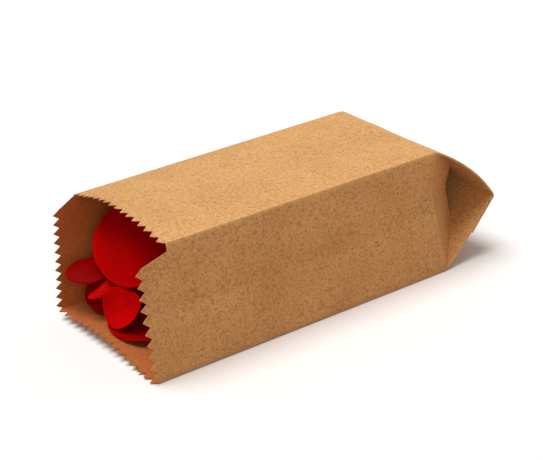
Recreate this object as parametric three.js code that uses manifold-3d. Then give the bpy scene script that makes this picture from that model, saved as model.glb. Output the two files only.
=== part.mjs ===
// A small kraft paper bag that lies on its back panel, with a heap of thin red fruit slices in its mouth.
// The bag is one folded sheet: two panels, two gussets, a seam along the back, and a closed end whose
// panels slope to a ridge, with a deep tuck where each gusset folds in between them.
// Frame in millimetres: +X runs from the mouth to the closed end, +Y from the near gusset to the far one,
// +Z up. The origin is on the surface that the bag lies on, under the middle of its box.
import * as THREE from "three";
import Module from "manifold-3d";
import { mergeVertices } from "three/addons/utils/BufferGeometryUtils.js";

// Driving dimensions of the bag
const PANEL_WIDTH = 80;
const GUSSET_DEPTH = 60;
const TUBE_LENGTH = 157.5; // mouth to the creases where the end starts to slope
const RIDGE_REACH = 30; // how far the closed ridge stands past those creases
const PAPER = 0.3;
const TOOTH_PITCH = 5;
const TOOTH_DEPTH = 3;
const NEAR_STEP = 12.5; // how far the upper panel is cut back at the near gusset
const FAR_STEP = 9; // and at the far gusset
const STEP_STRAIGHT = 4; // straight part of the near step, down the gusset
const NEAR_SLOPE = 3.5; // how much lower the sloping part of the near step ends
const FAR_SLOPE = 6; // and that of the far step
const SEAM_WIDTH = 12;
const FLAP_WIDTH = 20; // glued fold that closes the end, under the ridge
const TUCK_KINK = 3.4; // how far the crease of each tuck bends toward the mouth
const TUCK_DIP = 2; // how far the gusset leans in at that bend
const TUCK_LEAD = 15.5; // how far ahead of the end crease the soft folds round that dip meet
const TUCK_MEET = 31.75; // and how high
const TUCK_FADE = 20; // how far into the tuck the dip fades out

// How the loose paper has moved each corner from a plain box, as [along, across, up]
const MOUTH_NEAR_LOW = [0, 0, 0];
const MOUTH_FAR_LOW = [-3.5, 1.2, 4.4];
const MOUTH_FAR_HIGH = [1.4, -0.4, -2];
const MOUTH_NEAR_HIGH = [-2.3, 0.6, 1];
const END_NEAR_LOW = [-0.4, -0.9, 0];
const END_FAR_LOW = [0.4, 0, 0];
const END_FAR_HIGH = [3, 1.2, -1.2];
const END_NEAR_HIGH = [-3.6, 2.2, 0.2];
const TOP_BOW = 6; // rise of the upper panel in the middle of the mouth
const TOP_BOW_LENGTH = 120; // how far in from the mouth that rise fades out
const BACK_BOW = 3; // rise of the back panel along its seam at the mouth
const BACK_CURL_LENGTH = 60; // how far in from the mouth the back panel lies flat again
const HIGH_BULGE = 2.6; // how far the upper sloping panel rounds out between its crease and the ridge
const LOW_BULGE = 1.4; // and the lower one

// The slices
const SLICE = 0.8; // thickness
const REST_GAP = 0.4; // a settled slice keeps this height above what carries it
const SLICE_COLOUR = 0xb80d0d;
const KRAFT_COLOUR = 0xc49a6c;

// One face of a slice from its middle to its rim, as shares of its radius and of half its thickness
const SLICE_FACE = [[0, 1], [0.5, 1], [0.85, 1], [0.985, 0.8]];

// Values that follow from those above
const MID_HEIGHT = GUSSET_DEPTH / 2;
const RIDGE_HALF = 2 * PAPER; // four layers of paper meet in the ridge
const SLOPE = (MID_HEIGHT - RIDGE_HALF) / RIDGE_REACH;
const SLANT = Math.hypot(1, SLOPE); // turns a thickness of a sloping panel into a height
const RIDGE = TUBE_LENGTH + RIDGE_REACH;
const KINK_HEIGHT = (2 * GUSSET_DEPTH) / 3;
const OVERCUT = 5; // how far a cutting solid stands out past what it cuts
const CUT_CLEAR = 0.1; // how far it stays off a wall that it leaves whole
const MERGE_WITHIN = 1e-4;
const FALL_FROM = 3 * GUSSET_DEPTH; // height above the ground where each slice starts to come down

// Facets of the larger faces
const ALONG_PARTS = 8;
const SIDE_PARTS = 3; // on each side of the seam
const UP_PARTS = 6;
const END_PARTS = 4;
const TUCK_SPLITS = 2;
const SLICE_SIDES = 24;

const wasm = await Module();
wasm.setup();

function solidOf(geometry) {
  const bare = geometry.clone();
  bare.deleteAttribute("normal");
  bare.deleteAttribute("uv");
  const merged = mergeVertices(bare, MERGE_WITHIN);
  return new wasm.Manifold(
    new wasm.Mesh({
      numProp: 3,
      vertProperties: new Float32Array(merged.attributes.position.array),
      triVerts: new Uint32Array(merged.index.array),
    }),
  );
}

function geometryOf(solid) {
  const mesh = solid.getMesh();
  const geometry = new THREE.BufferGeometry();
  geometry.setAttribute("position", new THREE.BufferAttribute(mesh.vertProperties, 3));
  geometry.setIndex(new THREE.BufferAttribute(mesh.triVerts, 1));
  return geometry;
}

// Moves every vertex of a geometry to where a function of its position puts it.
function reshape(geometry, place) {
  const position = geometry.attributes.position;
  const point = new THREE.Vector3();
  for (let i = 0; i < position.count; i++) {
    place(point.fromBufferAttribute(position, i));
    position.setXYZ(i, point.x, point.y, point.z);
  }
  return geometry;
}

// Values in equal steps between two ends, both included.
function steps(from, to, parts) {
  return Array.from({ length: parts + 1 }, (_, i) => THREE.MathUtils.lerp(from, to, i / parts));
}

// Places along the bag where its faces are divided, from the mouth of a solid to its end.
function bagStations(first, last) {
  const tube = steps(2 * TOOTH_DEPTH, TUBE_LENGTH - TUCK_LEAD, ALONG_PARTS);
  return [first, ...tube, ...steps(TUBE_LENGTH, last, END_PARTS)];
}

// Places across the bag where its faces are divided. The two edges of the seam are short ramps.
const ACROSS_STATIONS = (() => {
  const middle = PANEL_WIDTH / 2;
  const side = middle - SEAM_WIDTH / 2;
  const near = [...steps(0, side, SIDE_PARTS), side + PAPER];
  return [...near, middle, ...near.map((across) => PANEL_WIDTH - across).reverse()];
})();

// How much higher the inside of the back panel is where the sheet's two edges lie one on the other.
function seamRise(along, across) {
  const within = Math.abs(across - PANEL_WIDTH / 2) < SEAM_WIDTH / 2 - PAPER / 2;
  return within && along < TUBE_LENGTH ? PAPER : 0;
}

// The bag as a filled form, inset by a paper thickness: a box whose end closes in to the ridge.
function filledBag(inset, alongs) {
  const last = alongs.length - 1;
  const lastAcross = ACROSS_STATIONS.length - 1;
  return reshape(new THREE.BoxGeometry(1, 1, 1, last, lastAcross, UP_PARTS), (p) => {
    const along = alongs[Math.round((p.x + 0.5) * last)];
    const plainAcross = ACROSS_STATIONS[Math.round((p.y + 0.5) * lastAcross)];
    const across = THREE.MathUtils.clamp(plainAcross, inset, PANEL_WIDTH - inset);
    const past = Math.max(0, along - TUBE_LENGTH);
    const thickness = along < TUBE_LENGTH ? inset : inset * SLANT;
    const half = MID_HEIGHT - SLOPE * past - thickness;
    const rise = inset > 0 ? seamRise(along, across) * (0.5 - p.z) : 0;
    p.set(along, across, MID_HEIGHT + 2 * half * p.z + rise);
  });
}

// The hollow that the near gusset leaves where it folds in between the sloping panels: a pyramid with its
// base in the gusset. It stays panelInset under the outside of the panels, and its other walls are moved
// into the bag by grow.
function tuckForm(panelInset, grow) {
  const drop = panelInset * SLANT;
  const tip = TUBE_LENGTH + (MID_HEIGHT - drop) / SLOPE;
  const front = TUBE_LENGTH - grow * SLANT;
  const reach = MID_HEIGHT - drop + SLOPE * (TUBE_LENGTH - front);
  const apex = new THREE.Vector3(tip, MID_HEIGHT + grow, MID_HEIGHT);
  const corners = [
    new THREE.Vector3(tip, 0, MID_HEIGHT),
    new THREE.Vector3(front, 0, MID_HEIGHT + reach),
    new THREE.Vector3(front - TUCK_KINK, 0, KINK_HEIGHT),
    new THREE.Vector3(front, 0, MID_HEIGHT - reach),
  ];
  const stretch = 1 + OVERCUT / apex.y;
  const base = corners.map((corner) => corner.sub(apex).multiplyScalar(stretch).add(apex));
  const points = [apex, ...base];
  const faces = [[1, 2, 3], [1, 3, 4], [0, 2, 1], [0, 3, 2], [0, 4, 3], [0, 1, 4]];
  let corner = faces.flat().map((i) => points[i]);
  for (let i = 0; i < TUCK_SPLITS; i++) corner = split(corner);
  return new THREE.BufferGeometry().setFromPoints(corner);
}

// Splits each triangle of a list of corners into four.
function split(corners) {
  const finer = [];
  for (let i = 0; i < corners.length; i += 3) {
    const [a, b, c] = corners.slice(i, i + 3);
    const ab = a.clone().lerp(b, 0.5);
    const bc = b.clone().lerp(c, 0.5);
    const ca = c.clone().lerp(a, 0.5);
    finer.push(a, ab, ca, ab, b, bc, ca, bc, c, ab, bc, ca);
  }
  return finer;
}

// The same hollow at the other gusset.
function farTuckForm(panelInset, grow) {
  const geometry = reshape(tuckForm(panelInset, grow), (p) => p.setY(PANEL_WIDTH - p.y));
  const count = geometry.attributes.position.count;
  geometry.setIndex(Array.from({ length: count }, (_, i) => count - 1 - i));
  return geometry;
}

function bothTucks(panelInset, grow) {
  return solidOf(tuckForm(panelInset, grow)).add(solidOf(farTuckForm(panelInset, grow)));
}

// The paper shell: everything between the outer form and the hollow inside it.
function paperShell() {
  const mouth = -TOOTH_DEPTH - PAPER;
  const innerEnd = TUBE_LENGTH + (MID_HEIGHT - PAPER * SLANT - PAPER / 2) / SLOPE;
  const outer = solidOf(filledBag(0, bagStations(mouth, RIDGE)));
  const inner = solidOf(filledBag(PAPER, bagStations(mouth - OVERCUT, innerEnd)));
  const hollow = inner.subtract(bothTucks(PAPER / 2, PAPER));
  return outer.subtract(bothTucks(2 * PAPER, 0)).subtract(hollow);
}

// The end of the tube folded down over the lower sloping panel and glued there.
function endFlap() {
  const down = new THREE.Vector2(-1, -SLOPE).normalize();
  const out = new THREE.Vector2(SLOPE, -1).normalize();
  const ridge = new THREE.Vector2(RIDGE, MID_HEIGHT - RIDGE_HALF);
  const at = (along, away) => ridge.clone().addScaledVector(down, along).addScaledVector(out, away);
  const outline = [
    new THREE.Vector2(RIDGE - PAPER, MID_HEIGHT),
    at(FLAP_WIDTH, -PAPER / 2),
    at(FLAP_WIDTH, 2 * PAPER),
    at(0, 2 * PAPER),
    new THREE.Vector2(RIDGE - PAPER, MID_HEIGHT + RIDGE_HALF),
  ];
  const slab = new THREE.ExtrudeGeometry(new THREE.Shape(outline), {
    depth: PANEL_WIDTH,
    bevelEnabled: false,
  });
  return solidOf(slab.rotateX(Math.PI / 2).translate(0, PANEL_WIDTH, 0));
}

// A zigzag edge from one point to another, with its teeth pointing to the left of that direction.
function zigzag(from, to, depth) {
  const count = Math.max(1, Math.round(from.distanceTo(to) / TOOTH_PITCH));
  const outward = new THREE.Vector2(-(to.y - from.y), to.x - from.x).normalize();
  const points = [];
  for (let i = 0; i < count; i++) {
    points.push(from.clone().lerp(to, i / count));
    points.push(from.clone().lerp(to, (i + 0.5) / count).addScaledVector(outward, depth));
  }
  return [...points, to.clone()];
}

// Solid that cuts a wall back to an edge: everything on the mouth side of the edge, given as [along, side].
function mouthCutter(edge, depth) {
  const first = edge[0];
  const end = edge[edge.length - 1];
  const back = -TOOTH_DEPTH - 2 * OVERCUT;
  const outline = [
    new THREE.Vector2(back, first.y - OVERCUT),
    new THREE.Vector2(first.x, first.y - OVERCUT),
    ...edge,
    new THREE.Vector2(end.x, end.y + OVERCUT),
    new THREE.Vector2(back, end.y + OVERCUT),
  ];
  return new THREE.ExtrudeGeometry(new THREE.Shape(outline), { depth, bevelEnabled: false });
}

function panelCutter(nearCut, farCut, height) {
  const edge = zigzag(new THREE.Vector2(nearCut, 0), new THREE.Vector2(farCut, PANEL_WIDTH), TOOTH_DEPTH);
  return solidOf(mouthCutter(edge, 2 * OVERCUT).translate(0, 0, height));
}

// A gusset's edge: teeth up to the step, a plain slope back, and a short straight part under the panel.
function gussetCutter(step, slope, straight, across) {
  const stepHeight = GUSSET_DEPTH - straight - slope;
  const edge = zigzag(new THREE.Vector2(0, 0), new THREE.Vector2(0, stepHeight), TOOTH_DEPTH);
  edge.push(new THREE.Vector2(step, GUSSET_DEPTH - straight));
  if (straight > 0) edge.push(new THREE.Vector2(step, GUSSET_DEPTH));
  const cutter = mouthCutter(edge, 2 * OVERCUT);
  return solidOf(cutter.rotateX(Math.PI / 2).translate(0, across + 2 * OVERCUT, 0));
}

// Where the loose paper puts a point of the plain form.
function relax(p) {
  const along = THREE.MathUtils.clamp(p.x / TUBE_LENGTH, 0, 1);
  const across = THREE.MathUtils.clamp(p.y / PANEL_WIDTH, 0, 1);
  const up = THREE.MathUtils.clamp(p.z / GUSSET_DEPTH, 0, 1);
  const closed = THREE.MathUtils.clamp((p.x - TUBE_LENGTH) / RIDGE_REACH, 0, 1);
  const shift = cornerDrift(along, across, up, 1 - closed);
  const curl = fadeIn(p.x, BACK_CURL_LENGTH);
  const rise = Math.sin(Math.PI * across);
  shift.z += (1 - up) * across * MOUTH_FAR_LOW[2] * (curl - (1 - along));
  shift.z += (1 - up) * BACK_BOW * rise ** 2 * curl;
  shift.z += up * TOP_BOW * rise * fadeIn(p.x, TOP_BOW_LENGTH);
  shift.y += tuckDip(p) * (1 - 2 * across);
  const level = (p.z - MID_HEIGHT) / (MID_HEIGHT - SLOPE * RIDGE_REACH * closed);
  const bulge = (4 * closed * (1 - closed) * level * (level > 0 ? HIGH_BULGE : LOW_BULGE)) / SLANT;
  shift.x += Math.abs(bulge);
  shift.z += bulge;
  p.add(shift);
}

// The corner movements, shared out between the corners. Those of the closed end fade out to the ridge.
function cornerDrift(along, across, up, end) {
  const near = 1 - across;
  const low = 1 - up;
  const mouth = 1 - along;
  const shares = [
    [MOUTH_NEAR_LOW, mouth * near * low],
    [MOUTH_FAR_LOW, mouth * across * low],
    [MOUTH_FAR_HIGH, mouth * across * up],
    [MOUTH_NEAR_HIGH, mouth * near * up],
    [END_NEAR_LOW, along * near * low * end],
    [END_FAR_LOW, along * across * low * end],
    [END_FAR_HIGH, along * across * up * end],
    [END_NEAR_HIGH, along * near * up * end],
  ];
  const shift = new THREE.Vector3();
  for (const [corner, share] of shares) shift.addScaledVector(new THREE.Vector3(...corner), share);
  return shift;
}

// One at the mouth, fading smoothly to none at a length in from it.
function fadeIn(along, length) {
  return Math.max(0, 1 - Math.max(0, along) / length) ** 2;
}

// How far a gusset leans in at its tuck: most at the bend of the tuck's crease, and none from the soft
// folds that run from the crease's two ends and its bend to the point where they meet.
function tuckDip(p) {
  const topPart = (GUSSET_DEPTH - p.z) / (GUSSET_DEPTH - KINK_HEIGHT);
  const level = Math.max(0, Math.min(topPart, p.z / KINK_HEIGHT));
  const past = p.x - (TUBE_LENGTH - TUCK_KINK * level);
  if (past >= 0) return TUCK_DIP * level * Math.max(0, 1 - past / TUCK_FADE);
  const here = new THREE.Vector3(p.x, 0, p.z);
  const bend = new THREE.Vector3(TUBE_LENGTH - TUCK_KINK, 0, KINK_HEIGHT);
  const meet = new THREE.Vector3(TUBE_LENGTH - TUCK_LEAD, 0, TUCK_MEET);
  const ends = [0, GUSSET_DEPTH].map((height) => new THREE.Vector3(TUBE_LENGTH, 0, height));
  const shares = ends.map((end) => THREE.Triangle.getBarycoord(here, end, bend, meet, new THREE.Vector3()));
  const inside = shares.find((share) => Math.min(share.x, share.y, share.z) >= 0);
  return inside ? TUCK_DIP * inside.y : 0;
}

function paperBag() {
  const cutters = [
    panelCutter(0, 0, 2 * PAPER + CUT_CLEAR - 2 * OVERCUT),
    panelCutter(NEAR_STEP, FAR_STEP, GUSSET_DEPTH - PAPER - CUT_CLEAR),
    gussetCutter(NEAR_STEP, NEAR_SLOPE, STEP_STRAIGHT, PAPER + CUT_CLEAR - 2 * OVERCUT),
    gussetCutter(FAR_STEP, FAR_SLOPE, 0, PANEL_WIDTH - PAPER - CUT_CLEAR),
  ];
  let bag = paperShell().add(endFlap());
  for (const cutter of cutters) bag = bag.subtract(cutter);
  return reshape(geometryOf(bag), relax);
}

// Bends a point of a flat sheet to a radius round an axis that runs beside it, keeping its thickness. The
// radius is positive where the sheet's edges turn up.
function bend(side, height, radius) {
  const reach = radius - height;
  return [reach * Math.sin(side / radius), radius - reach * Math.cos(side / radius)];
}

// One slice, lying flat with its middle at the origin: a thin disc drawn out to its length and width,
// pointed toward +X by its taper, then cupped across and bowed along.
function sliceGeometry({ length, width, taper, turn }, { cup, bow, wave }) {
  const upper = SLICE_FACE.map(([reach, height]) => new THREE.Vector2(reach, (height * SLICE) / 2));
  const lower = upper.map((point) => new THREE.Vector2(point.x, -point.y));
  const profile = [...lower, new THREE.Vector2(1, 0), ...upper.reverse()];
  const disc = new THREE.LatheGeometry(profile, SLICE_SIDES).rotateX(Math.PI / 2);
  const slice = reshape(disc, (p) => {
    const narrowed = 1 - taper * p.x;
    const raise = wave * Math.hypot(p.x, p.y) ** 3 * Math.sin(3 * Math.atan2(p.y, p.x) + turn);
    const [y, raised] = bend((width / 2) * p.y * narrowed, p.z + raise, cup);
    const [x, z] = bend((length / 2) * p.x, raised, bow);
    p.set(x, y, z);
  });
  return slice.rotateZ(turn);
}

// How far one mesh can come straight down before it reaches another that lies lower.
function fallHeight(upper, lower) {
  const down = new THREE.Vector3(0, 0, -1);
  const lowerBox = new THREE.Box3().setFromObject(lower);
  const upperBox = new THREE.Box3().setFromObject(upper);
  const apart =
    upperBox.min.x > lowerBox.max.x ||
    upperBox.max.x < lowerBox.min.x ||
    upperBox.min.y > lowerBox.max.y ||
    upperBox.max.y < lowerBox.min.y;
  if (apart) return Infinity;
  return Math.min(firstHit(upper, lower, down), firstHit(lower, upper, down.negate()));
}

// The shortest way from the corners of one mesh, along a direction, to the faces of another.
function firstHit(from, onto, direction) {
  const caster = new THREE.Raycaster();
  const corner = new THREE.Vector3();
  const position = from.geometry.attributes.position;
  let nearest = Infinity;
  for (let i = 0; i < position.count; i++) {
    corner.fromBufferAttribute(position, i).applyMatrix4(from.matrixWorld);
    caster.set(corner, direction);
    const hit = caster.intersectObject(onto, false)[0];
    if (hit) nearest = Math.min(nearest, hit.distance);
  }
  return nearest;
}

// Height of the inside of the back panel at a place, with the seam's extra layer counted everywhere.
function backHeight(along, across) {
  const point = new THREE.Vector3(along, across, 2 * PAPER);
  relax(point);
  return point.z;
}

// Lowers a slice from above the bag until it rests on the back panel or on a slice that is there already.
function settle(slice, settled) {
  slice.position.z = FALL_FROM;
  slice.updateMatrixWorld(true);
  const position = slice.geometry.attributes.position;
  const corner = new THREE.Vector3();
  let fall = Infinity;
  for (let i = 0; i < position.count; i++) {
    corner.fromBufferAttribute(position, i).applyMatrix4(slice.matrixWorld);
    fall = Math.min(fall, corner.z - backHeight(corner.x, corner.y));
  }
  for (const below of settled) fall = Math.min(fall, fallHeight(slice, below));
  slice.position.z -= fall - REST_GAP;
  slice.updateMatrixWorld(true);
}

// The slices, in the order in which they settled. Each has its length and width, how much it narrows toward
// one end and its turn in its own plane, then the radius it is cupped to across and bowed to along (negative
// where the edges turn down) and the rise of its wavy edge. It is placed by its middle, in from the mouth
// and from the near gusset (or the far one), and leans by tilt toward a compass angle counted from +X.
const SLICES = [
  {
    name: "low_front",
    outline: { length: 28, width: 38, taper: 0.1, turn: 0 },
    bends: { cup: 80, bow: 70, wave: 0.3 },
    place: { in: 15.5, fromNear: 37, tilt: 4, toward: -150 },
  },
  {
    name: "corner",
    outline: { length: 18, width: 14, taper: 0.1, turn: 0 },
    bends: { cup: 25, bow: 40, wave: 0.3 },
    place: { in: 24, fromFar: 10, tilt: 4, toward: -170 },
  },
  {
    name: "curl",
    outline: { length: 18, width: 17, taper: 0.1, turn: 0.6 },
    bends: { cup: 14, bow: 16, wave: 0.3 },
    place: { in: 11.5, fromFar: 12, tilt: 62, toward: -150 },
  },
  {
    name: "cup",
    outline: { length: 19, width: 25, taper: 0.28, turn: -0.25 },
    bends: { cup: 13, bow: 40, wave: 0.3 },
    place: { in: 9.5, fromNear: 43.5, tilt: 46, toward: -160 },
  },
  {
    name: "roll",
    outline: { length: 19, width: 11, taper: 0.1, turn: 0 },
    bends: { cup: -4.5, bow: 60, wave: 0.2 },
    place: { in: 9.5, fromNear: 61, tilt: 28, toward: 180 },
  },
  {
    name: "side",
    outline: { length: 15.5, width: 22, taper: 0.1, turn: 0 },
    bends: { cup: -30, bow: -40, wave: 0.3 },
    place: { in: 7, fromFar: 10.5, tilt: 24, toward: -110 },
  },
  {
    name: "deep_floor",
    outline: { length: 40, width: 42, taper: 0.1, turn: 1.2 },
    bends: { cup: 60, bow: 80, wave: 0.6 },
    place: { in: 62, fromNear: 30, tilt: 6, toward: 40 },
  },
  {
    name: "deep_far",
    outline: { length: 38, width: 32, taper: 0.15, turn: 2.1 },
    bends: { cup: -50, bow: 90, wave: 0.6 },
    place: { in: 56, fromFar: 22, tilt: 10, toward: -60 },
  },
  {
    name: "behind_cup",
    outline: { length: 34, width: 32, taper: 0.12, turn: 0.5 },
    bends: { cup: 45, bow: 60, wave: 0.5 },
    place: { in: 34, fromNear: 24, tilt: 36, toward: -165 },
  },
  {
    name: "large",
    outline: { length: 40, width: 42, taper: 0.12, turn: 0.35 },
    bends: { cup: -50, bow: -90, wave: 0.5 },
    place: { in: 19.5, fromNear: 52.5, tilt: 56, toward: -151 },
  },
];

function fruitSlice({ name, outline, bends, place }) {
  const material = new THREE.MeshStandardMaterial({ color: SLICE_COLOUR, roughness: 0.45, metalness: 0 });
  const slice = new THREE.Mesh(sliceGeometry(outline, bends), material);
  slice.name = "fruit_slice_" + name;
  const across = "fromFar" in place ? PANEL_WIDTH - place.fromFar : place.fromNear;
  slice.position.set(place.in, across, 0);
  slice.rotation.set(0, THREE.MathUtils.degToRad(place.tilt), THREE.MathUtils.degToRad(place.toward), "ZYX");
  return slice;
}

function fruitHeap() {
  const settled = [];
  for (const form of SLICES) {
    const slice = fruitSlice(form);
    settle(slice, settled);
    settled.push(slice);
  }
  return settled;
}

const kraft = new THREE.MeshStandardMaterial({ color: KRAFT_COLOUR, roughness: 0.85, metalness: 0 });
const bag = new THREE.Mesh(paperBag(), kraft);
bag.name = "paper_bag";

// Everything is moved so that the origin is on the ground under the middle of the bag.
const laid = new THREE.Group();
laid.add(bag, ...fruitHeap());
const box = new THREE.Box3().setFromObject(laid, true);
const middle = box.getCenter(new THREE.Vector3());
laid.position.set(-middle.x, -middle.y, -box.min.z);

const group = new THREE.Group();
group.add(laid);
export default group;
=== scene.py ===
"""A small kraft paper bag of thin red dried fruit slices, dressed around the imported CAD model."""

import math

import bmesh
import bpy
from mathutils import Matrix, Vector, noise


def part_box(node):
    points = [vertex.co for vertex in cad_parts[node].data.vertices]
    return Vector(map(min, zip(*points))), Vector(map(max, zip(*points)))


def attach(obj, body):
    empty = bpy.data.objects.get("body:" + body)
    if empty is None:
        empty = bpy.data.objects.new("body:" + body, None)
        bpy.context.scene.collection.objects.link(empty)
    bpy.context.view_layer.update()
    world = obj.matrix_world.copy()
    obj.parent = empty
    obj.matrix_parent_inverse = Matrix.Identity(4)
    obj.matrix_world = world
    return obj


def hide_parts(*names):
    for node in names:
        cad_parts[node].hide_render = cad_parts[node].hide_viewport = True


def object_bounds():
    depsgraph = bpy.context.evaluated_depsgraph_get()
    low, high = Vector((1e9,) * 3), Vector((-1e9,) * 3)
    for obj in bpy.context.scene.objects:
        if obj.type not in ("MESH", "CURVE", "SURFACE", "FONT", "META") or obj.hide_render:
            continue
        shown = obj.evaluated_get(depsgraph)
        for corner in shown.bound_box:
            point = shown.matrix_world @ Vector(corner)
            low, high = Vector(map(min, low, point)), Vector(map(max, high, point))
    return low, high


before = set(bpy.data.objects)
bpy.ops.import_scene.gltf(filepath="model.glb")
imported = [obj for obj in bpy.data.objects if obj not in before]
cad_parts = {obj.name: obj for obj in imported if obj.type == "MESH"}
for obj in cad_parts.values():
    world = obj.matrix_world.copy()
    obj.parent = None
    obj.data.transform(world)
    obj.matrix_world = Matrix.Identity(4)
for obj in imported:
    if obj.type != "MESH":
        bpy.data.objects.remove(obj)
cad_low, cad_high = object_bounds()

MM = 0.001

# The bag's sizes, in millimetres, as in the solids
PANEL_WIDTH = 80.0
GUSSET_DEPTH = 60.0
TUBE_LENGTH = 157.5
RIDGE_REACH = 30.0
PAPER = 0.3
TOOTH_PITCH = 5.0
TOOTH_DEPTH = 3.0
NEAR_STEP = 12.5
FAR_STEP = 9.0
STEP_STRAIGHT = 4.0
NEAR_SLOPE = 3.5
FAR_SLOPE = 6.0
SEAM_WIDTH = 12.0
FLAP_WIDTH = 20.0
TUCK_KINK = 3.4
TUCK_DIP = 2.0
TUCK_LEAD = 15.5
TUCK_MEET = 31.75
TUCK_FADE = 20.0
MOUTH_NEAR_LOW = Vector((0, 0, 0))
MOUTH_FAR_LOW = Vector((-3.5, 1.2, 4.4))
MOUTH_FAR_HIGH = Vector((1.4, -0.4, -2))
MOUTH_NEAR_HIGH = Vector((-2.3, 0.6, 1))
END_NEAR_LOW = Vector((-0.4, -0.9, 0))
END_FAR_LOW = Vector((0.4, 0, 0))
END_FAR_HIGH = Vector((3, 1.2, -1.2))
END_NEAR_HIGH = Vector((-3.6, 2.2, 0.2))
TOP_BOW = 6.0
TOP_BOW_LENGTH = 120.0
BACK_BOW = 3.0
BACK_CURL_LENGTH = 60.0
HIGH_BULGE = 2.6
LOW_BULGE = 1.4

# Values that follow from those above
MID_HEIGHT = GUSSET_DEPTH / 2
RIDGE_HALF = 2 * PAPER
SLOPE = (MID_HEIGHT - RIDGE_HALF) / RIDGE_REACH
SLANT = math.hypot(1, SLOPE)
RIDGE = TUBE_LENGTH + RIDGE_REACH
KINK_HEIGHT = 2 * GUSSET_DEPTH / 3
OVERCUT = 5.0
CUT_CLEAR = 0.1

# What the finished paper adds to the plain form
CREASE_REACH = 2.4  # how far from a fold the paper starts to round over it
CREASE_ROUND = 0.32  # how far a fold is rounded off
END_LEAN = 0.5  # share of that by which the end fold is rounded inward
TUBE_FADE = 1 / 6  # share of the closed end over which the tube's finish fades out
GUSSET_FOLD = 0.55  # depth of the faint fold line along each gusset
GUSSET_FOLD_REACH = 7.0  # how far above and below that line the paper leans in
GUSSET_WAVE = 0.9  # height of the soft waves of the gussets
PANEL_WAVE = 0.9  # and of the upper panel
END_WAVE = 0.5  # share of the panel's waves on the sloping panel
TOOTH_CURL = 0.5  # how far a tooth's tip curls out of its panel
TOOTH_CURL_SIZE = 4.0  # how far apart teeth have to be to curl differently
PANEL_BAND = 1.0  # teeth within this height of a panel curl with it
WEAR_REACH = 1.2  # how far from a fold the paper is worn pale

# The ripples' length along each axis, a seed, and their share of the wave
GUSSET_RIPPLES = (
    ((34.0, PANEL_WIDTH, 27.2), (0, 0, 0), 1.0),
    ((13.6, PANEL_WIDTH, 17.0), (0, 5, 0), 0.4),
)
PANEL_RIPPLES = (
    ((44.2, 23.8, math.inf), (0, 0, 3), 1.0),
    ((17.0, 13.6, math.inf), (0, 0, 8), 0.35),
)

# How fine the bag's mesh is
CELL = 1.9  # usual distance between its stations
EDGE_STEPS = (0.0, 0.35, 0.8, 1.4, 2.2, 3.4)  # stations beside a fold
MOUTH_PARTS = 6  # stations between the teeth's tips and their roots
SEAM_PARTS = 6  # and across the seam
TUCK_CUTS = 20  # on each edge of a tuck's faces
BAG_MERGE = 0.01  # points closer than this become one
BAG_SLIVER = 0.005  # edges shorter than this are taken out
SHARP_ANGLE = 24  # degrees above which an edge is shaded sharp

# The camera that fits the photograph, in the bag's own frame, in millimetres
IMAGE_WIDTH = 543
FOCAL_PIXELS = 1303.37
SENSOR_WIDTH = 36.0
CAMERA_PLACE = Vector((-213.0708, -416.0829, 276.1784))
CAMERA_FORWARD = Vector((0.5002559, 0.7615620, -0.4120283))
CAMERA_UP = Vector((0.2837533, 0.3053871, 0.9089680))


def clamp01(value):
    return max(0.0, min(1.0, value))


def steps(first, last, parts):
    return [first + (last - first) * i / parts for i in range(parts + 1)]


def fine_steps(first, last):
    """Steps between two folds: close together beside each fold and one cell apart between."""
    inner = steps(first + EDGE_STEPS[-1], last - EDGE_STEPS[-1], round((last - first) / CELL))
    return [first + d for d in EDGE_STEPS[:-1]] + inner + [last - d for d in reversed(EDGE_STEPS[:-1])]


def across_stations():
    middle = PANEL_WIDTH / 2
    side = middle - SEAM_WIDTH / 2
    inner = steps(EDGE_STEPS[-1], side, round(side / CELL))
    near = list(EDGE_STEPS[:-1]) + inner + [side + PAPER]
    within = steps(side + PAPER, PANEL_WIDTH - side - PAPER, SEAM_PARTS)[1:-1]
    return near + within + [PANEL_WIDTH - a for a in reversed(near)]


def along_stations(first, last):
    mouth = steps(first, 2 * TOOTH_DEPTH, MOUTH_PARTS)
    tube = steps(2 * TOOTH_DEPTH, TUBE_LENGTH - EDGE_STEPS[-1], round(TUBE_LENGTH / CELL))
    crease = [TUBE_LENGTH - d for d in reversed(EDGE_STEPS[:-1])]
    after = [TUBE_LENGTH + d for d in EDGE_STEPS[1:]]
    end = steps(after[-1], last, round((last - after[-1]) / CELL))
    return mouth + tube[1:] + crease + after + end[1:]


ACROSS = across_stations()
UP = [u / GUSSET_DEPTH - 0.5 for u in fine_steps(0.0, GUSSET_DEPTH)]


def seam_rise(along, across):
    within = abs(across - PANEL_WIDTH / 2) < SEAM_WIDTH / 2 - PAPER / 2
    return PAPER if within and along < TUBE_LENGTH else 0.0


def filled_bag(inset, alongs):
    """The bag as a filled form, inset by a paper thickness: a box whose end closes in to the ridge."""

    def place(i, j, k):
        along = alongs[i]
        across = min(max(ACROSS[j], inset), PANEL_WIDTH - inset)
        past = max(0.0, along - TUBE_LENGTH)
        thickness = inset if along < TUBE_LENGTH else inset * SLANT
        half = MID_HEIGHT - SLOPE * past - thickness
        rise = seam_rise(along, across) * (0.5 - UP[k]) if inset > 0 else 0.0
        return Vector((along, across, MID_HEIGHT + 2 * half * UP[k] + rise))

    return grid_box(len(alongs), len(ACROSS), len(UP), place)


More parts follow.
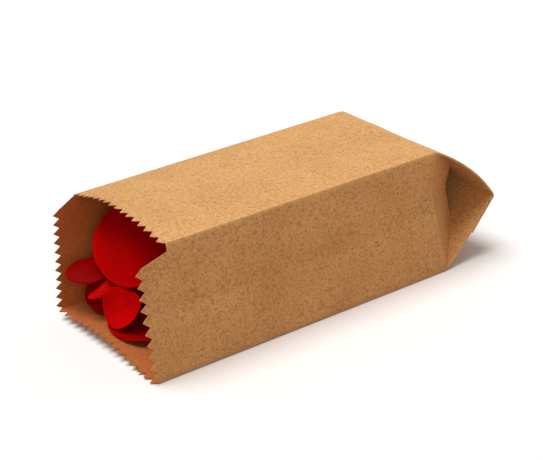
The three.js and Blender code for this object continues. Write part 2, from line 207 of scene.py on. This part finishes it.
def grid_box(count_x, count_y, count_z, place):
    """A closed box of quads whose grid points are put where a function of their indices says."""
    mesh = bmesh.new()
    verts = {}

    def vert(i, j, k):
        key = (i, j, k)
        if key not in verts:
            verts[key] = mesh.verts.new(place(i, j, k))
        return verts[key]

    def face(corners):
        mesh.faces.new([vert(*corner) for corner in corners])

    for i in range(count_x - 1):
        for j in range(count_y - 1):
            face([(i, j, 0), (i, j + 1, 0), (i + 1, j + 1, 0), (i + 1, j, 0)])
            top = count_z - 1
            face([(i, j, top), (i + 1, j, top), (i + 1, j + 1, top), (i, j + 1, top)])
    for i in range(count_x - 1):
        for k in range(count_z - 1):
            face([(i, 0, k), (i + 1, 0, k), (i + 1, 0, k + 1), (i, 0, k + 1)])
            far = count_y - 1
            face([(i, far, k), (i, far, k + 1), (i + 1, far, k + 1), (i + 1, far, k)])
    for j in range(count_y - 1):
        for k in range(count_z - 1):
            face([(0, j, k), (0, j, k + 1), (0, j + 1, k + 1), (0, j + 1, k)])
            last = count_x - 1
            face([(last, j, k), (last, j + 1, k), (last, j + 1, k + 1), (last, j, k + 1)])
    return object_of(mesh, "grid_box")


def object_of(mesh, name):
    bmesh.ops.recalc_face_normals(mesh, faces=mesh.faces[:])
    data = bpy.data.meshes.new(name)
    mesh.to_mesh(data)
    mesh.free()
    obj = bpy.data.objects.new(name, data)
    bpy.context.scene.collection.objects.link(obj)
    return obj


def solid_of(points, faces, cuts=0):
    """A closed solid from its corners and faces, with each triangle split into finer ones."""
    mesh = bmesh.new()
    verts = [mesh.verts.new(point) for point in points]
    for corners in faces:
        mesh.faces.new([verts[i] for i in corners])
    if cuts:
        bmesh.ops.subdivide_edges(mesh, edges=mesh.edges[:], cuts=cuts, use_grid_fill=True)
    return object_of(mesh, "solid")


def prism(outline, axis, low, high):
    """A closed outline of (u, v) points extruded along an axis, "y" or "z"."""
    if axis == "z":
        lower = [Vector((u, v, low)) for u, v in outline]
        upper = [Vector((u, v, high)) for u, v in outline]
    else:
        lower = [Vector((u, low, v)) for u, v in outline]
        upper = [Vector((u, high, v)) for u, v in outline]
    count = len(outline)
    faces = [list(range(count)), list(range(2 * count - 1, count - 1, -1))]
    for i in range(count):
        j = (i + 1) % count
        faces.append([i, j, count + j, count + i])
    return solid_of(lower + upper, faces)


def tuck_form(panel_inset, grow, far):
    """The hollow that a gusset leaves where it folds in between the sloping panels."""
    drop = panel_inset * SLANT
    tip = TUBE_LENGTH + (MID_HEIGHT - drop) / SLOPE
    front = TUBE_LENGTH - grow * SLANT
    reach = MID_HEIGHT - drop + SLOPE * (TUBE_LENGTH - front)
    apex = Vector((tip, MID_HEIGHT + grow, MID_HEIGHT))
    corners = [
        Vector((tip, 0, MID_HEIGHT)),
        Vector((front, 0, MID_HEIGHT + reach)),
        Vector((front - TUCK_KINK, 0, KINK_HEIGHT)),
        Vector((front, 0, MID_HEIGHT - reach)),
    ]
    stretch = 1 + OVERCUT / apex.y
    points = [apex] + [(corner - apex) * stretch + apex for corner in corners]
    if far:
        points = [Vector((p.x, PANEL_WIDTH - p.y, p.z)) for p in points]
    faces = [[1, 2, 3], [1, 3, 4], [0, 2, 1], [0, 3, 2], [0, 4, 3], [0, 1, 4]]
    return solid_of(points, faces, cuts=TUCK_CUTS)


def boolean(obj, other, operation):
    """Cuts or joins another object into this one, and removes the other."""
    modifier = obj.modifiers.new("boolean", "BOOLEAN")
    modifier.operation = operation
    modifier.solver = "EXACT"
    modifier.object = other
    finished_mesh(obj)
    bpy.data.objects.remove(other)
    return obj


def finished_mesh(obj):
    """Gives an object the mesh that its modifiers make, and takes the modifiers off."""
    graph = bpy.context.evaluated_depsgraph_get()
    data = bpy.data.meshes.new_from_object(obj.evaluated_get(graph))
    obj.modifiers.clear()
    obj.data = data
    return data


def paper_shell():
    mouth = -TOOTH_DEPTH - PAPER
    inner_end = TUBE_LENGTH + (MID_HEIGHT - PAPER * SLANT - PAPER / 2) / SLOPE
    outer = filled_bag(0.0, along_stations(mouth, RIDGE))
    inner = filled_bag(PAPER, along_stations(mouth - OVERCUT, inner_end))
    for far in (False, True):
        boolean(inner, tuck_form(PAPER / 2, PAPER, far), "DIFFERENCE")
        boolean(outer, tuck_form(2 * PAPER, 0.0, far), "DIFFERENCE")
    return boolean(outer, inner, "DIFFERENCE")


def end_flap():
    """The end of the tube folded down over the lower sloping panel and glued there."""
    down = Vector((-1, -SLOPE)).normalized()
    out = Vector((SLOPE, -1)).normalized()
    ridge = Vector((RIDGE, MID_HEIGHT - RIDGE_HALF))

    def at(along, away):
        return ridge + down * along + out * away

    outline = [
        Vector((RIDGE - PAPER, MID_HEIGHT)),
        at(FLAP_WIDTH, -PAPER / 2),
        at(FLAP_WIDTH, 2 * PAPER),
        at(0, 2 * PAPER),
        Vector((RIDGE - PAPER, MID_HEIGHT + RIDGE_HALF)),
    ]
    return prism(outline, "y", 0.0, PANEL_WIDTH)


def zigzag(first, last, depth):
    """A zigzag edge with its teeth pointing to the left of its direction."""
    count = max(1, round((last - first).length / TOOTH_PITCH))
    outward = Vector((first.y - last.y, last.x - first.x)).normalized()
    points = []
    for i in range(count):
        points.append(first.lerp(last, i / count))
        points.append(first.lerp(last, (i + 0.5) / count) + outward * depth)
    return points + [last.copy()]


def mouth_outline(edge):
    back = -TOOTH_DEPTH - 2 * OVERCUT
    first, last = edge[0], edge[-1]
    return [
        Vector((back, first.y - OVERCUT)),
        Vector((first.x, first.y - OVERCUT)),
        *edge,
        Vector((last.x, last.y + OVERCUT)),
        Vector((back, last.y + OVERCUT)),
    ]


def panel_cutter(near_cut, far_cut, height):
    edge = zigzag(Vector((near_cut, 0)), Vector((far_cut, PANEL_WIDTH)), TOOTH_DEPTH)
    return prism(mouth_outline(edge), "z", height, height + 2 * OVERCUT)


def gusset_cutter(step, slope, straight, across):
    """A gusset's edge: teeth up to the step, a plain slope back, and a straight part under the panel."""
    edge = zigzag(Vector((0, 0)), Vector((0, GUSSET_DEPTH - straight - slope)), TOOTH_DEPTH)
    edge.append(Vector((step, GUSSET_DEPTH - straight)))
    if straight > 0:
        edge.append(Vector((step, GUSSET_DEPTH)))
    return prism(mouth_outline(edge), "y", across, across + 2 * OVERCUT)


def fade_in(along, length):
    return max(0.0, 1 - max(0.0, along) / length) ** 2


def corner_drift(along, across, up, end):
    near, low, mouth = 1 - across, 1 - up, 1 - along
    return (
        MOUTH_NEAR_LOW * (mouth * near * low)
        + MOUTH_FAR_LOW * (mouth * across * low)
        + MOUTH_FAR_HIGH * (mouth * across * up)
        + MOUTH_NEAR_HIGH * (mouth * near * up)
        + END_NEAR_LOW * (along * near * low * end)
        + END_FAR_LOW * (along * across * low * end)
        + END_FAR_HIGH * (along * across * up * end)
        + END_NEAR_HIGH * (along * near * up * end)
    )


def tuck_dip(p):
    """How far a gusset leans in at its tuck: most at the crease's bend, none past the folds round it."""
    top_part = (GUSSET_DEPTH - p.z) / (GUSSET_DEPTH - KINK_HEIGHT)
    level = max(0.0, min(top_part, p.z / KINK_HEIGHT))
    past = p.x - (TUBE_LENGTH - TUCK_KINK * level)
    if past >= 0:
        return TUCK_DIP * level * max(0.0, 1 - past / TUCK_FADE)
    here = Vector((p.x, p.z))
    bend = Vector((TUBE_LENGTH - TUCK_KINK, KINK_HEIGHT))
    meet = Vector((TUBE_LENGTH - TUCK_LEAD, TUCK_MEET))
    for height in (0.0, GUSSET_DEPTH):
        share = share_of_first(here, bend, meet, Vector((TUBE_LENGTH, height)))
        if share is not None:
            return TUCK_DIP * share
    return 0.0


def share_of_first(point, a, b, c):
    """How near a point of a flat triangle is to its first corner, from 0 to 1, or None outside it."""
    whole = (b - a).cross(c - a)
    sides = [(b, c), (c, a), (a, b)]
    shares = [(end - start).cross(point - start) / whole for start, end in sides]
    return shares[0] if min(shares) >= 0 else None


def closing(p):
    """How far along the closed end a point is, from 0 to 1, and the bag's half height there."""
    closed = clamp01((p.x - TUBE_LENGTH) / RIDGE_REACH)
    return closed, MID_HEIGHT - SLOPE * RIDGE_REACH * closed


def relax(p):
    """Where the loose paper puts a point of the plain form, as in the solids."""
    along = clamp01(p.x / TUBE_LENGTH)
    across = clamp01(p.y / PANEL_WIDTH)
    up = clamp01(p.z / GUSSET_DEPTH)
    closed, half = closing(p)
    shift = corner_drift(along, across, up, 1 - closed)
    curl = fade_in(p.x, BACK_CURL_LENGTH)
    rise = math.sin(math.pi * across)
    shift.z += (1 - up) * across * MOUTH_FAR_LOW.z * (curl - (1 - along))
    shift.z += (1 - up) * BACK_BOW * rise**2 * curl
    shift.z += up * TOP_BOW * rise * fade_in(p.x, TOP_BOW_LENGTH)
    shift.y += tuck_dip(p) * (1 - 2 * across)
    level = (p.z - MID_HEIGHT) / half
    bulge = 4 * closed * (1 - closed) * level * (HIGH_BULGE if level > 0 else LOW_BULGE) / SLANT
    shift.x += abs(bulge)
    shift.z += bulge
    return p + shift


def beside(distance, reach):
    """One on a line, fading to none at a distance from it."""
    return max(0.0, 1 - abs(distance) / reach) ** 2


def on_wall(distance):
    """One through a wall's thickness, fading to none further in."""
    return clamp01(2 - distance / (3 * PAPER))


def ripples(p, layers):
    """The sum of soft noise layers at a point."""
    total = 0.0
    for lengths, seed, share in layers:
        total += share * noise.noise(Vector([p[i] / lengths[i] + seed[i] for i in range(3)]))
    return total


def rounded_folds(p, tube):
    """How far the folds are rounded off: both ways along the tube, and back and in at the end."""
    _, half = closing(p)
    near, far = beside(p.y, CREASE_REACH), beside(PANEL_WIDTH - p.y, CREASE_REACH)
    high = beside(MID_HEIGHT + half - p.z, CREASE_REACH)
    low = beside(p.z - (MID_HEIGHT - half), CREASE_REACH)
    end = beside(p.x - TUBE_LENGTH, CREASE_REACH)
    back = end * (low + high)
    aside = (near - far) * (low + high) * tube
    inward = (low - high) * ((near + far) * tube + END_LEAN * end)
    return CREASE_ROUND * Vector((-back, aside, inward))


def soft_waves(p, tube):
    """The waves of the gussets and of the upper panel, and the faint fold line of each gusset."""
    _, half = closing(p)
    gusset = on_wall(p.y) - on_wall(PANEL_WIDTH - p.y)
    calm = math.sin(math.pi * clamp01(p.z / GUSSET_DEPTH)) * tube
    fold = max(0.0, 1 - abs(p.z - MID_HEIGHT) / GUSSET_FOLD_REACH)
    aside = gusset * (GUSSET_WAVE * ripples(p, GUSSET_RIPPLES) * calm + GUSSET_FOLD * fold * tube)
    upper = on_wall(MID_HEIGHT + half - p.z)
    sway = math.sin(math.pi * clamp01(p.y / PANEL_WIDTH))
    rise = upper * sway * PANEL_WAVE * ripples(p, PANEL_RIPPLES) * (tube + END_WAVE * (1 - tube))
    return Vector((0, aside, rise))


def finish_shift(p):
    """What the worn paper adds at a point of the plain form: rounded folds, faint folds and soft waves."""
    closed, _ = closing(p)
    tube = 1 - clamp01(closed / TUBE_FADE)
    return rounded_folds(p, tube) + soft_waves(p, tube)


def tooth_shift(p):
    """A slight curl of each tooth's tip out of its panel."""
    if p.x > 0 and p.z < GUSSET_DEPTH - STEP_STRAIGHT:
        return Vector((0, 0, 0))
    on_upper = p.z > GUSSET_DEPTH - PANEL_BAND
    step = NEAR_STEP + (FAR_STEP - NEAR_STEP) * p.y / PANEL_WIDTH
    root = step if on_upper else 0.0
    out = clamp01((root - p.x) / TOOTH_DEPTH)
    turn = noise.noise(Vector((p.y / TOOTH_CURL_SIZE, p.z / TOOTH_CURL_SIZE, 1)))
    if on_upper:
        return Vector((0, 0, TOOTH_CURL * out * turn))
    if p.z < PANEL_BAND:
        return Vector((0, 0, TOOTH_CURL * out * max(0.0, turn)))
    return Vector((0, TOOTH_CURL * out * turn, 0))


def plain_bag():
    """The bag as folded and cut, before the paper is relaxed and worn."""
    cut_low = 2 * PAPER + CUT_CLEAR - 2 * OVERCUT
    cutters = [
        panel_cutter(0, 0, cut_low),
        panel_cutter(NEAR_STEP, FAR_STEP, GUSSET_DEPTH - PAPER - CUT_CLEAR),
        gusset_cutter(NEAR_STEP, NEAR_SLOPE, STEP_STRAIGHT, PAPER + CUT_CLEAR - 2 * OVERCUT),
        gusset_cutter(FAR_STEP, FAR_SLOPE, 0, PANEL_WIDTH - PAPER - CUT_CLEAR),
    ]
    bag = paper_shell()
    boolean(bag, end_flap(), "UNION")
    for cutter in cutters:
        boolean(bag, cutter, "DIFFERENCE")
    bag.name = "kraft_bag"
    return bag


def paper_bag():
    """The worn bag in its place, and the shift that took it there from its own frame."""
    bag = plain_bag()
    mesh = bmesh.new()
    mesh.from_mesh(bag.data)
    bmesh.ops.remove_doubles(mesh, verts=mesh.verts[:], dist=BAG_MERGE)
    bmesh.ops.dissolve_degenerate(mesh, edges=mesh.edges[:], dist=BAG_SLIVER)
    plain = [v.co.copy() for v in mesh.verts]
    relaxed = [relax(p) for p in plain]
    offset = bag_offset(relaxed)
    wear_layer = mesh.verts.layers.float.new("fold_wear")
    # a mask for the painted shade inside the tube
    inner_shade_layer = mesh.verts.layers.float.new("inner_shade_mask")
    for vert, p, place in zip(mesh.verts, plain, relaxed):
        vert.co = (place + finish_shift(p) + tooth_shift(p) + offset) * MM
        vert[wear_layer] = fold_wear(p)
        vert[inner_shade_layer] = inner_shade_mask(p)
    bmesh.ops.triangulate(mesh, faces=[f for f in mesh.faces if len(f.verts) > 4])
    mesh.to_mesh(bag.data)
    mesh.free()
    bag.data.shade_smooth()
    bag.data.set_sharp_from_angle(angle=math.radians(SHARP_ANGLE))
    return bag, offset


def bag_offset(points):
    """From the bag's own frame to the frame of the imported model."""
    low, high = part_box("paper_bag")
    middle = (low + high) / (2 * MM)
    mine = Vector([(min(p[i] for p in points) + max(p[i] for p in points)) / 2 for i in range(3)])
    return middle - mine


def inner_shade_mask(p):
    """Where the inside's painted shade goes: one on the inside of the tube, none on its outside and in the
    closed end.
    """
    depth = min(p.y, PANEL_WIDTH - p.y, p.z, GUSSET_DEPTH - p.z)
    return 1.0 if PAPER / 2 < depth and p.x < TUBE_LENGTH - TUCK_KINK else 0.0


def fold_wear(p):
    """How close a point is to one of the long folds or the end fold, from 0 to 1."""
    _, half = closing(p)
    level = min(abs(MID_HEIGHT + half - p.z), abs(p.z - MID_HEIGHT + half))
    side = min(abs(p.y), abs(PANEL_WIDTH - p.y))
    long_fold = math.hypot(level, side)
    end_fold = math.hypot(level, p.x - TUBE_LENGTH)
    return max(0.0, 1 - min(long_fold, end_fold) / WEAR_REACH)


# Materials


class Graph:
    """A node tree, with short ways to add the nodes that are used here."""

    def __init__(self, tree):
        self.nodes = tree.nodes
        self.links = tree.links

    def feed(self, socket, value):
        """Links an output to a socket, or sets a number or a colour on it."""
        if isinstance(value, bpy.types.NodeSocket):
            self.links.new(value, socket)
        elif isinstance(value, tuple):
            socket.default_value = (*value, 1.0)
        else:
            socket.default_value = value

    def object_place(self):
        return self.nodes.new("ShaderNodeTexCoord").outputs["Object"]

    def attribute(self, name):
        node = self.nodes.new("ShaderNodeAttribute")
        node.attribute_name = name
        return node.outputs["Fac"]

    def pattern(self, place, scale, detail, roughness, stretch=(1, 1, 1), distortion=0.0):
        mapping = self.nodes.new("ShaderNodeMapping")
        mapping.inputs["Scale"].default_value = stretch
        self.links.new(place, mapping.inputs["Vector"])
        node = self.nodes.new("ShaderNodeTexNoise")
        node.inputs["Scale"].default_value = scale
        node.inputs["Detail"].default_value = detail
        node.inputs["Roughness"].default_value = roughness
        node.inputs["Distortion"].default_value = distortion
        self.links.new(mapping.outputs["Vector"], node.inputs["Vector"])
        return node.outputs["Fac"]

    def ramp(self, source, low, high, first=0.0, last=1.0):
        node = self.nodes.new("ShaderNodeMapRange")
        node.inputs["From Min"].default_value = low
        node.inputs["From Max"].default_value = high
        node.inputs["To Min"].default_value = first
        node.inputs["To Max"].default_value = last
        self.links.new(source, node.inputs["Value"])
        return node.outputs["Result"]

    def combine(self, operation, first, second):
        node = self.nodes.new("ShaderNodeMath")
        node.operation = operation
        self.feed(node.inputs[0], first)
        self.feed(node.inputs[1], second)
        return node.outputs["Value"]

    def mix(self, factor, first, second):
        node = self.nodes.new("ShaderNodeMix")
        node.data_type = "RGBA"
        inputs = {s.identifier: s for s in node.inputs}
        self.feed(inputs["Factor_Float"], factor)
        self.feed(inputs["A_Color"], first)
        self.feed(inputs["B_Color"], second)
        return next(s for s in node.outputs if s.identifier == "Result_Color")

    def tint(self, colour, over, source, low, high, share):
        """Lays a second colour over the first where a pattern is strong."""
        return self.mix(self.combine("MULTIPLY", self.ramp(source, low, high), share), colour, over)

    def bump(self, height, strength, distance):
        node = self.nodes.new("ShaderNodeBump")
        node.inputs["Strength"].default_value = strength
        node.inputs["Distance"].default_value = distance * MM
        self.links.new(height, node.inputs["Height"])
        return node.outputs["Normal"]

    def seen(self):
        """One for what is seen directly, mirrored or through something clear, none for bounced light."""
        path = self.nodes.new("ShaderNodeLightPath")
        direct = self.combine("MAXIMUM", path.outputs["Is Camera Ray"], path.outputs["Is Glossy Ray"])
        return self.combine("MAXIMUM", direct, path.outputs["Is Transmission Ray"])


def new_material(name):
    material = bpy.data.materials.new(name)
    material.use_nodes = True
    return material, Graph(material.node_tree), material.node_tree.nodes["Principled BSDF"]


def linear(red, green, blue):
    """An 8-bit colour as seen, as the linear colour that the shaders take."""

    def one(value):
        value /= 255
        return value / 12.92 if value <= 0.04045 else ((value + 0.055) / 1.055) ** 2.4

    return (one(red), one(green), one(blue))


KRAFT_PALE = linear(228, 176, 114)
KRAFT_DEEP = linear(216, 163, 102)
KRAFT_FIBRE = linear(134, 78, 38)
KRAFT_WORN = linear(240, 206, 156)
# painted shade and painted red glow from the fruit: the inside of the tube is the same paper, drawn darker
# and redder
KRAFT_INNER_SHADE = linear(186, 88, 28)
FRUIT_RED = linear(208, 0, 0)
FRUIT_DEEP = linear(166, 0, 2)
# painted highlight: a brighter red drawn along each slice's rim
FRUIT_RIM_HIGHLIGHT = linear(245, 8, 4)
FRUIT_SHADE = linear(120, 0, 2)

# Patterns, each as its scale, detail, roughness, stretch along the axes and distortion
KRAFT_CLOUD = (45, 3, 0.5)
KRAFT_MOTTLE = (800, 5, 0.75)
KRAFT_SPECK = (1900, 3, 0.7)
FIBRES_ALONG = (260, 4, 0.7, (0.35, 3.2, 3.2), 0.6)
FIBRES_ACROSS = (300, 4, 0.7, (2.6, 0.6, 0.6), 0.8)
FRUIT_CLOUD = (55, 3, 0.5)
FRUIT_STREAK = (210, 4, 0.6, (0.5, 1.6, 1.0), 0.8)
FRUIT_GRAIN = (900, 3, 0.6)

# Where a pattern starts to show and where it shows in full, with its share of the colour
CLOUD_RANGE = (0.3, 0.75)
WEAR_RANGE = (0.3, 0.7)
MOTTLE_TINT = (0.48, 0.74, 0.85)
SPECK_TINT = (0.54, 0.7, 0.95)
ALONG_TINT = (0.6, 0.8, 0.4)
ACROSS_TINT = (0.55, 0.8, 0.6)
INNER_SHADE_TINT = (0.4, 0.68, 0.75)
STREAK_TINT = (0.5, 0.8, 0.5)
WEAR_SHARE = 0.5
INNER_SHADE_SHARE = 0.85
RIM_HIGHLIGHT_SHARE = 0.4

# Painted light and shade on each slice: how bright its red is drawn, from the shade colour at 0 to the
# full one at 1
SLICE_PAINTED_LIGHT = {
    "large": 0.85,
    "side": 0.25,
    "cup": 0.85,
    "low_front": 0.45,
    "roll": 1.0,
    "curl": 0.3,
}
OTHER_PAINTED_LIGHT = 0.5


def kraft_material():
    """Matt kraft paper, paler on its worn folds, with painted shade and a painted red glow inside the
    tube.
    """
    material, graph, shader = new_material("kraft_paper")
    place = graph.object_place()
    mottle = graph.pattern(place, *KRAFT_MOTTLE)
    fibres_along = graph.pattern(place, *FIBRES_ALONG)
    cloud = graph.ramp(graph.pattern(place, *KRAFT_CLOUD), *CLOUD_RANGE)
    colour = graph.mix(cloud, KRAFT_PALE, KRAFT_DEEP)
    colour = graph.tint(colour, KRAFT_FIBRE, mottle, *MOTTLE_TINT)
    colour = graph.tint(colour, KRAFT_FIBRE, graph.pattern(place, *KRAFT_SPECK), *SPECK_TINT)
    colour = graph.tint(colour, KRAFT_FIBRE, fibres_along, *ALONG_TINT)
    colour = graph.tint(colour, KRAFT_WORN, graph.pattern(place, *FIBRES_ACROSS), *ACROSS_TINT)
    worn = graph.combine("MULTIPLY", graph.attribute("fold_wear"), graph.ramp(mottle, *WEAR_RANGE))
    colour = graph.mix(graph.combine("MULTIPLY", worn, WEAR_SHARE), colour, KRAFT_WORN)
    # painted shade inside the tube, with a painted red glow, over the same paper
    inner_shade_colour = graph.tint(KRAFT_INNER_SHADE, KRAFT_FIBRE, mottle, *INNER_SHADE_TINT)
    inner = graph.combine("MULTIPLY", graph.attribute("inner_shade_mask"), INNER_SHADE_SHARE)
    graph.feed(shader.inputs["Base Color"], graph.mix(inner, colour, inner_shade_colour))
    shader.inputs["Roughness"].default_value = 0.82
    shader.inputs["Specular IOR Level"].default_value = 0.25
    grain = graph.combine("ADD", graph.combine("MULTIPLY", fibres_along, 0.6), mottle)
    graph.feed(shader.inputs["Normal"], graph.bump(grain, strength=0.35, distance=0.12))
    return material


def fruit_material():
    """Satin red flesh, streaked, with a painted highlight at the rim and painted shade set for each slice.
    """
    material, graph, shader = new_material("dried_fruit")
    place = graph.object_place()
    streak = graph.pattern(place, *FRUIT_STREAK)
    cloud = graph.ramp(graph.pattern(place, *FRUIT_CLOUD), *CLOUD_RANGE)
    colour = graph.mix(cloud, FRUIT_RED, FRUIT_DEEP)
    colour = graph.tint(colour, FRUIT_DEEP, streak, *STREAK_TINT)
    # painted highlight along the rim of each slice
    rim_highlight = graph.combine("MULTIPLY", graph.attribute("rim_highlight"), RIM_HIGHLIGHT_SHARE)
    colour = graph.mix(rim_highlight, colour, FRUIT_RIM_HIGHLIGHT)
    # painted shade: each slice's red is drawn toward the shade colour by its listed level
    graph.feed(shader.inputs["Base Color"], graph.mix(graph.attribute("painted_light_level"), FRUIT_SHADE, colour))
    graph.feed(shader.inputs["Roughness"], graph.ramp(streak, 0.0, 1.0, first=0.45, last=0.6))
    shader.inputs["Specular IOR Level"].default_value = 0.02
    shader.inputs["Subsurface Weight"].default_value = 0.2
    shader.inputs["Subsurface Radius"].default_value = (1.0, 0.15, 0.1)
    shader.inputs["Subsurface Scale"].default_value = 1.2 * MM
    fine = graph.combine("MULTIPLY", graph.pattern(place, *FRUIT_GRAIN), 0.3)
    grain = graph.combine("ADD", streak, fine)
    graph.feed(shader.inputs["Normal"], graph.bump(grain, strength=0.3, distance=0.25))
    return material


# The slices

SLICE_MERGE = 0.02  # mm
FLAT_ANGLE = 40  # degrees between two triangles that are joined into one quad
SHAPE_ANGLE = 60
SLICE_LEVELS = 2
SLICE_WRINKLE = 0.35  # mm
BROAD_WRINKLE = 7.0  # mm
FINE_WRINKLE = BROAD_WRINKLE / 2.3
SLICE_RIPPLES = (((BROAD_WRINKLE,) * 3, (0, 0, 0), 1.0), ((FINE_WRINKLE,) * 3, (4, 7, 1), 0.5))
WRINKLE_WAY = Vector((0.3, 0.2, 1)).normalized()
# the painted rim highlight starts at this share
RIM_HIGHLIGHT_START = 0.82  # share of a slice's reach at which its rim begins


def fruit_slice(node, material):
    """A finer, slightly wrinkled copy of a slice's solid, in its place."""
    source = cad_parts[node]
    mesh = bmesh.new()
    mesh.from_mesh(source.data)
    bmesh.ops.remove_doubles(mesh, verts=mesh.verts[:], dist=SLICE_MERGE * MM)
    bmesh.ops.join_triangles(
        mesh,
        faces=mesh.faces[:],
        angle_face_threshold=math.radians(FLAT_ANGLE),
        angle_shape_threshold=math.radians(SHAPE_ANGLE),
    )
    piece = object_of(mesh, node.replace("fruit_slice", "slice"))
    modifier = piece.modifiers.new("finer", "SUBSURF")
    modifier.levels = SLICE_LEVELS
    data = finished_mesh(piece)
    wrinkle(data)
    # each slice's level of painted light and shade
    painted_light_level = data.attributes.new("painted_light_level", "FLOAT", "POINT")
    level = SLICE_PAINTED_LIGHT.get(node.removeprefix("fruit_slice_"), OTHER_PAINTED_LIGHT)
    painted_light_level.data.foreach_set("value", [level] * len(data.vertices))
    data.shade_smooth()
    data.materials.clear()
    data.materials.append(material)
    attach(piece, "root")
    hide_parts(node)
    return piece


def wrinkle(data):
    """Moves both faces of a slice together by soft wrinkles, and marks its rim for the painted highlight.
    """
    low = Vector([min(v.co[i] for v in data.vertices) for i in range(3)])
    high = Vector([max(v.co[i] for v in data.vertices) for i in range(3)])
    middle = (low + high) / 2
    reach = max((v.co - middle).length for v in data.vertices)
    rim_highlight = data.attributes.new("rim_highlight", "FLOAT", "POINT")
    for vert in data.vertices:
        share = (vert.co - middle).length / reach
        rim_highlight.data[vert.index].value = clamp01((share - RIM_HIGHLIGHT_START) / (1 - RIM_HIGHLIGHT_START))
        bend = ripples(vert.co / MM, SLICE_RIPPLES)
        vert.co = vert.co + WRINKLE_WAY * (SLICE_WRINKLE * bend * MM)


# The stage

FLOOR_REACH = 6  # m
FLOOR_GAP = 0.2  # mm under the part
FLOOR_SEEN = (0.97, 0.97, 0.97)
FLOOR_BOUNCE = (0.44, 0.35, 0.31)
ROOM_COLOUR = (1.0, 0.94, 0.87)
ROOM_STRENGTH = 0.3

# Each light's strength, its angle in degrees, the way toward it, and its colour
KEY_LIGHT = (2.45, 40, Vector((-0.22, 0.06, 1)), (1, 1, 1))
FILL_LIGHT = (0.62, 50, Vector((-0.4, -0.85, 0.25)), (1.0, 0.76, 0.66))


def add_camera(offset):
    data = bpy.data.cameras.new("camera")
    data.sensor_width = SENSOR_WIDTH
    data.lens = SENSOR_WIDTH * FOCAL_PIXELS / IMAGE_WIDTH
    data.clip_start = 0.01
    camera = bpy.data.objects.new("camera", data)
    back = -CAMERA_FORWARD.normalized()
    up = (CAMERA_UP - back * CAMERA_UP.dot(back)).normalized()
    right = up.cross(back)
    turn = Matrix((right, up, back)).transposed().to_4x4()
    camera.matrix_world = Matrix.Translation((CAMERA_PLACE + offset) * MM) @ turn
    bpy.context.scene.collection.objects.link(camera)
    bpy.context.scene.camera = camera


def add_floor():
    mesh = bmesh.new()
    corners = [(-1, -1), (1, -1), (1, 1), (-1, 1)]
    mesh.faces.new([mesh.verts.new((FLOOR_REACH * x, FLOOR_REACH * y, 0)) for x, y in corners])
    floor = object_of(mesh, "floor")
    material, graph, shader = new_material("floor")
    graph.feed(shader.inputs["Base Color"], graph.mix(graph.seen(), FLOOR_BOUNCE, FLOOR_SEEN))
    shader.inputs["Roughness"].default_value = 0.9
    shader.inputs["Specular IOR Level"].default_value = 0.1
    floor.data.materials.append(material)
    floor.location.z = cad_low[2] - FLOOR_GAP * MM


def add_light():
    """A dim room for the light and a white one for the eye, with a soft sun above and one beside."""
    world = bpy.data.worlds.new("studio")
    bpy.context.scene.world = world
    world.use_nodes = True
    graph = Graph(world.node_tree)
    room = graph.nodes["Background"]
    room.inputs["Color"].default_value = (*ROOM_COLOUR, 1)
    room.inputs["Strength"].default_value = ROOM_STRENGTH
    white = graph.nodes.new("ShaderNodeBackground")
    white.inputs["Color"].default_value = (1, 1, 1, 1)
    white.inputs["Strength"].default_value = 1.0
    mix = graph.nodes.new("ShaderNodeMixShader")
    graph.feed(mix.inputs["Fac"], graph.seen())
    graph.feed(mix.inputs[1], room.outputs["Background"])
    graph.feed(mix.inputs[2], white.outputs["Background"])
    graph.feed(graph.nodes["World Output"].inputs["Surface"], mix.outputs["Shader"])
    add_sun("key", *KEY_LIGHT)
    add_sun("fill", *FILL_LIGHT)


def add_sun(name, strength, angle, towards, colour):
    data = bpy.data.lights.new(name, "SUN")
    data.energy = strength
    data.color = colour
    data.angle = math.radians(angle)
    lamp = bpy.data.objects.new(name, data)
    lamp.rotation_euler = towards.to_track_quat("Z", "Y").to_euler()
    bpy.context.scene.collection.objects.link(lamp)


kraft = kraft_material()
fruit = fruit_material()
bag, bag_shift = paper_bag()
bag.data.materials.clear()
bag.data.materials.append(kraft)
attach(bag, "root")
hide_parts("paper_bag")
for name in sorted(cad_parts):
    if name.startswith("fruit_slice"):
        fruit_slice(name, fruit)

add_camera(bag_shift)
add_floor()
add_light()
bpy.context.scene.view_settings.view_transform = "Standard"
